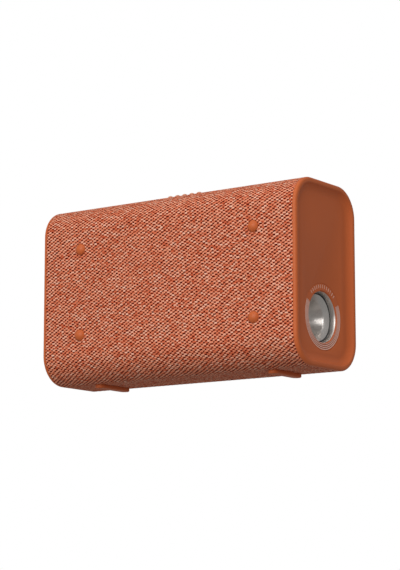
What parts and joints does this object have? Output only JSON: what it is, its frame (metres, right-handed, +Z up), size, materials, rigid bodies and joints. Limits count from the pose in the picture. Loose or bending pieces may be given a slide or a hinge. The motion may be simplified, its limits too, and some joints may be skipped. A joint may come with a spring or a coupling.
{
  "type": "portable power station",
  "caption": "Fabric-wrapped portable power station with dished end caps, an end-mounted torch, push buttons on top, end sockets, foot bars and front rest studs.",
  "frame": {"origin": "middle of the surface it stands on, under the middle of its box", "axes": "+X along the body towards the torch end, +Y from the studded front face to the back face, +Z up"},
  "size_m": [0.254, 0.093, 0.1559],
  "materials": {
    "sleeve_fabric": "melange woven polyester, salmon, red-orange and maroon yarns in a fine diagonal weave",
    "tube_aluminium": "mill-finish extruded aluminium",
    "cap_plastic": "satin burnt-orange moulded plastic with a very fine spark texture",
    "stud_plastic": "satin burnt-orange moulded plastic",
    "foot_rubber": "burnt-orange thermoplastic rubber",
    "seal_rubber": "black silicone rubber",
    "screw_steel": "zinc-plated steel",
    "button_plastic": "pale translucent plastic",
    "circuit_board": "green solder-masked glass-fibre board",
    "black_plastic": "black glass-filled nylon",
    "ring_plastic": "satin burnt-orange plastic with pale printed grooves",
    "polished_metal": "polished turned aluminium",
    "mirror_metal": "vacuum-metallised reflector",
    "clear_lens": "clear hard-coated polycarbonate lens",
    "led_resin": "phosphor under clear resin",
    "cell_can": "steel can in a teal shrink sleeve, with the density of a whole cell",
    "link_nickel": "nickel-plated strip",
    "brass": "turned brass",
    "transformer_core": "sintered ferrite with a taped winding",
    "capacitor_sleeve": "blue shrink sleeve",
    "winding_copper": "enamelled copper winding",
    "socket_plastic": "dark burnt-orange moulded plastic",
    "lead_insulation": "silicone lead insulation"
  },
  "bodies": {
    "case": {"fabric_sleeve": "sleeve_fabric", "core_tube": "tube_aluminium", "end_cap_right": "cap_plastic", "end_cap_left": "cap_plastic", "cap_gaskets": "seal_rubber", "foot_bar_right": "foot_rubber", "foot_bar_left": "foot_rubber", "foot_screws": "screw_steel", "stud_upper_right": "stud_plastic", "stud_upper_left": "stud_plastic", "stud_lower_right": "stud_plastic", "stud_lower_left": "stud_plastic", "stud_nuts": "screw_steel", "control_strip": "cap_plastic", "button_seal": "seal_rubber", "control_board": "circuit_board", "tact_switches": "black_plastic", "control_board_screws": "screw_steel", "torch_ring": "ring_plastic", "torch_bezel": "polished_metal", "torch_bezel_nut": "screw_steel", "torch_lens": "clear_lens", "lens_seal": "seal_rubber", "torch_reflector": "mirror_metal", "torch_led": "led_resin", "torch_star_board": "circuit_board", "torch_heatsink": "tube_aluminium", "heatsink_screws": "screw_steel", "torch_driver_board": "circuit_board", "battery_cells": "cell_can", "cell_holder_front": "black_plastic", "cell_holder_back": "black_plastic", "cell_links": "link_nickel", "battery_bracket_right": "tube_aluminium", "battery_bracket_left": "tube_aluminium", "bracket_screws": "screw_steel", "bms_board": "circuit_board", "deck_plate": "tube_aluminium", "board_standoffs": "brass", "inverter_board": "circuit_board", "transformer": "transformer_core", "capacitors": "capacitor_sleeve", "heat_spreader": "tube_aluminium", "inductor": "winding_copper", "ac_socket": "socket_plastic", "ac_contacts": "brass", "car_socket": "black_plastic", "socket_nuts": "screw_steel", "usb_a_ports": "link_nickel", "usb_c_ports": "link_nickel", "dc_input_jack": "black_plastic", "port_board": "circuit_board", "port_board_screws": "screw_steel", "power_leads": "lead_insulation", "signal_leads": "lead_insulation"},
    "button_ac": {"button_ac": "button_plastic"},
    "button_dc": {"button_dc": "button_plastic"},
    "button_power": {"button_power": "button_plastic"},
    "button_usb": {"button_usb": "button_plastic"},
    "button_torch": {"button_torch": "button_plastic"}
  },
  "joints": [
    {"name": "press_ac", "type": "slide", "parent": "case", "child": "button_ac", "axis": [0, 0, -1], "range_m": [0, 0.0012], "stiffness_N_per_m": 900, "springref_m": -0.0004},
    {"name": "press_dc", "type": "slide", "parent": "case", "child": "button_dc", "axis": [0, 0, -1], "range_m": [0, 0.0012], "stiffness_N_per_m": 900, "springref_m": -0.0004},
    {"name": "press_power", "type": "slide", "parent": "case", "child": "button_power", "axis": [0, 0, -1], "range_m": [0, 0.0012], "stiffness_N_per_m": 900, "springref_m": -0.0004},
    {"name": "press_usb", "type": "slide", "parent": "case", "child": "button_usb", "axis": [0, 0, -1], "range_m": [0, 0.0012], "stiffness_N_per_m": 900, "springref_m": -0.0004},
    {"name": "press_torch", "type": "slide", "parent": "case", "child": "button_torch", "axis": [0, 0, -1], "range_m": [0, 0.0012], "stiffness_N_per_m": 900, "springref_m": -0.0004}
  ]
}
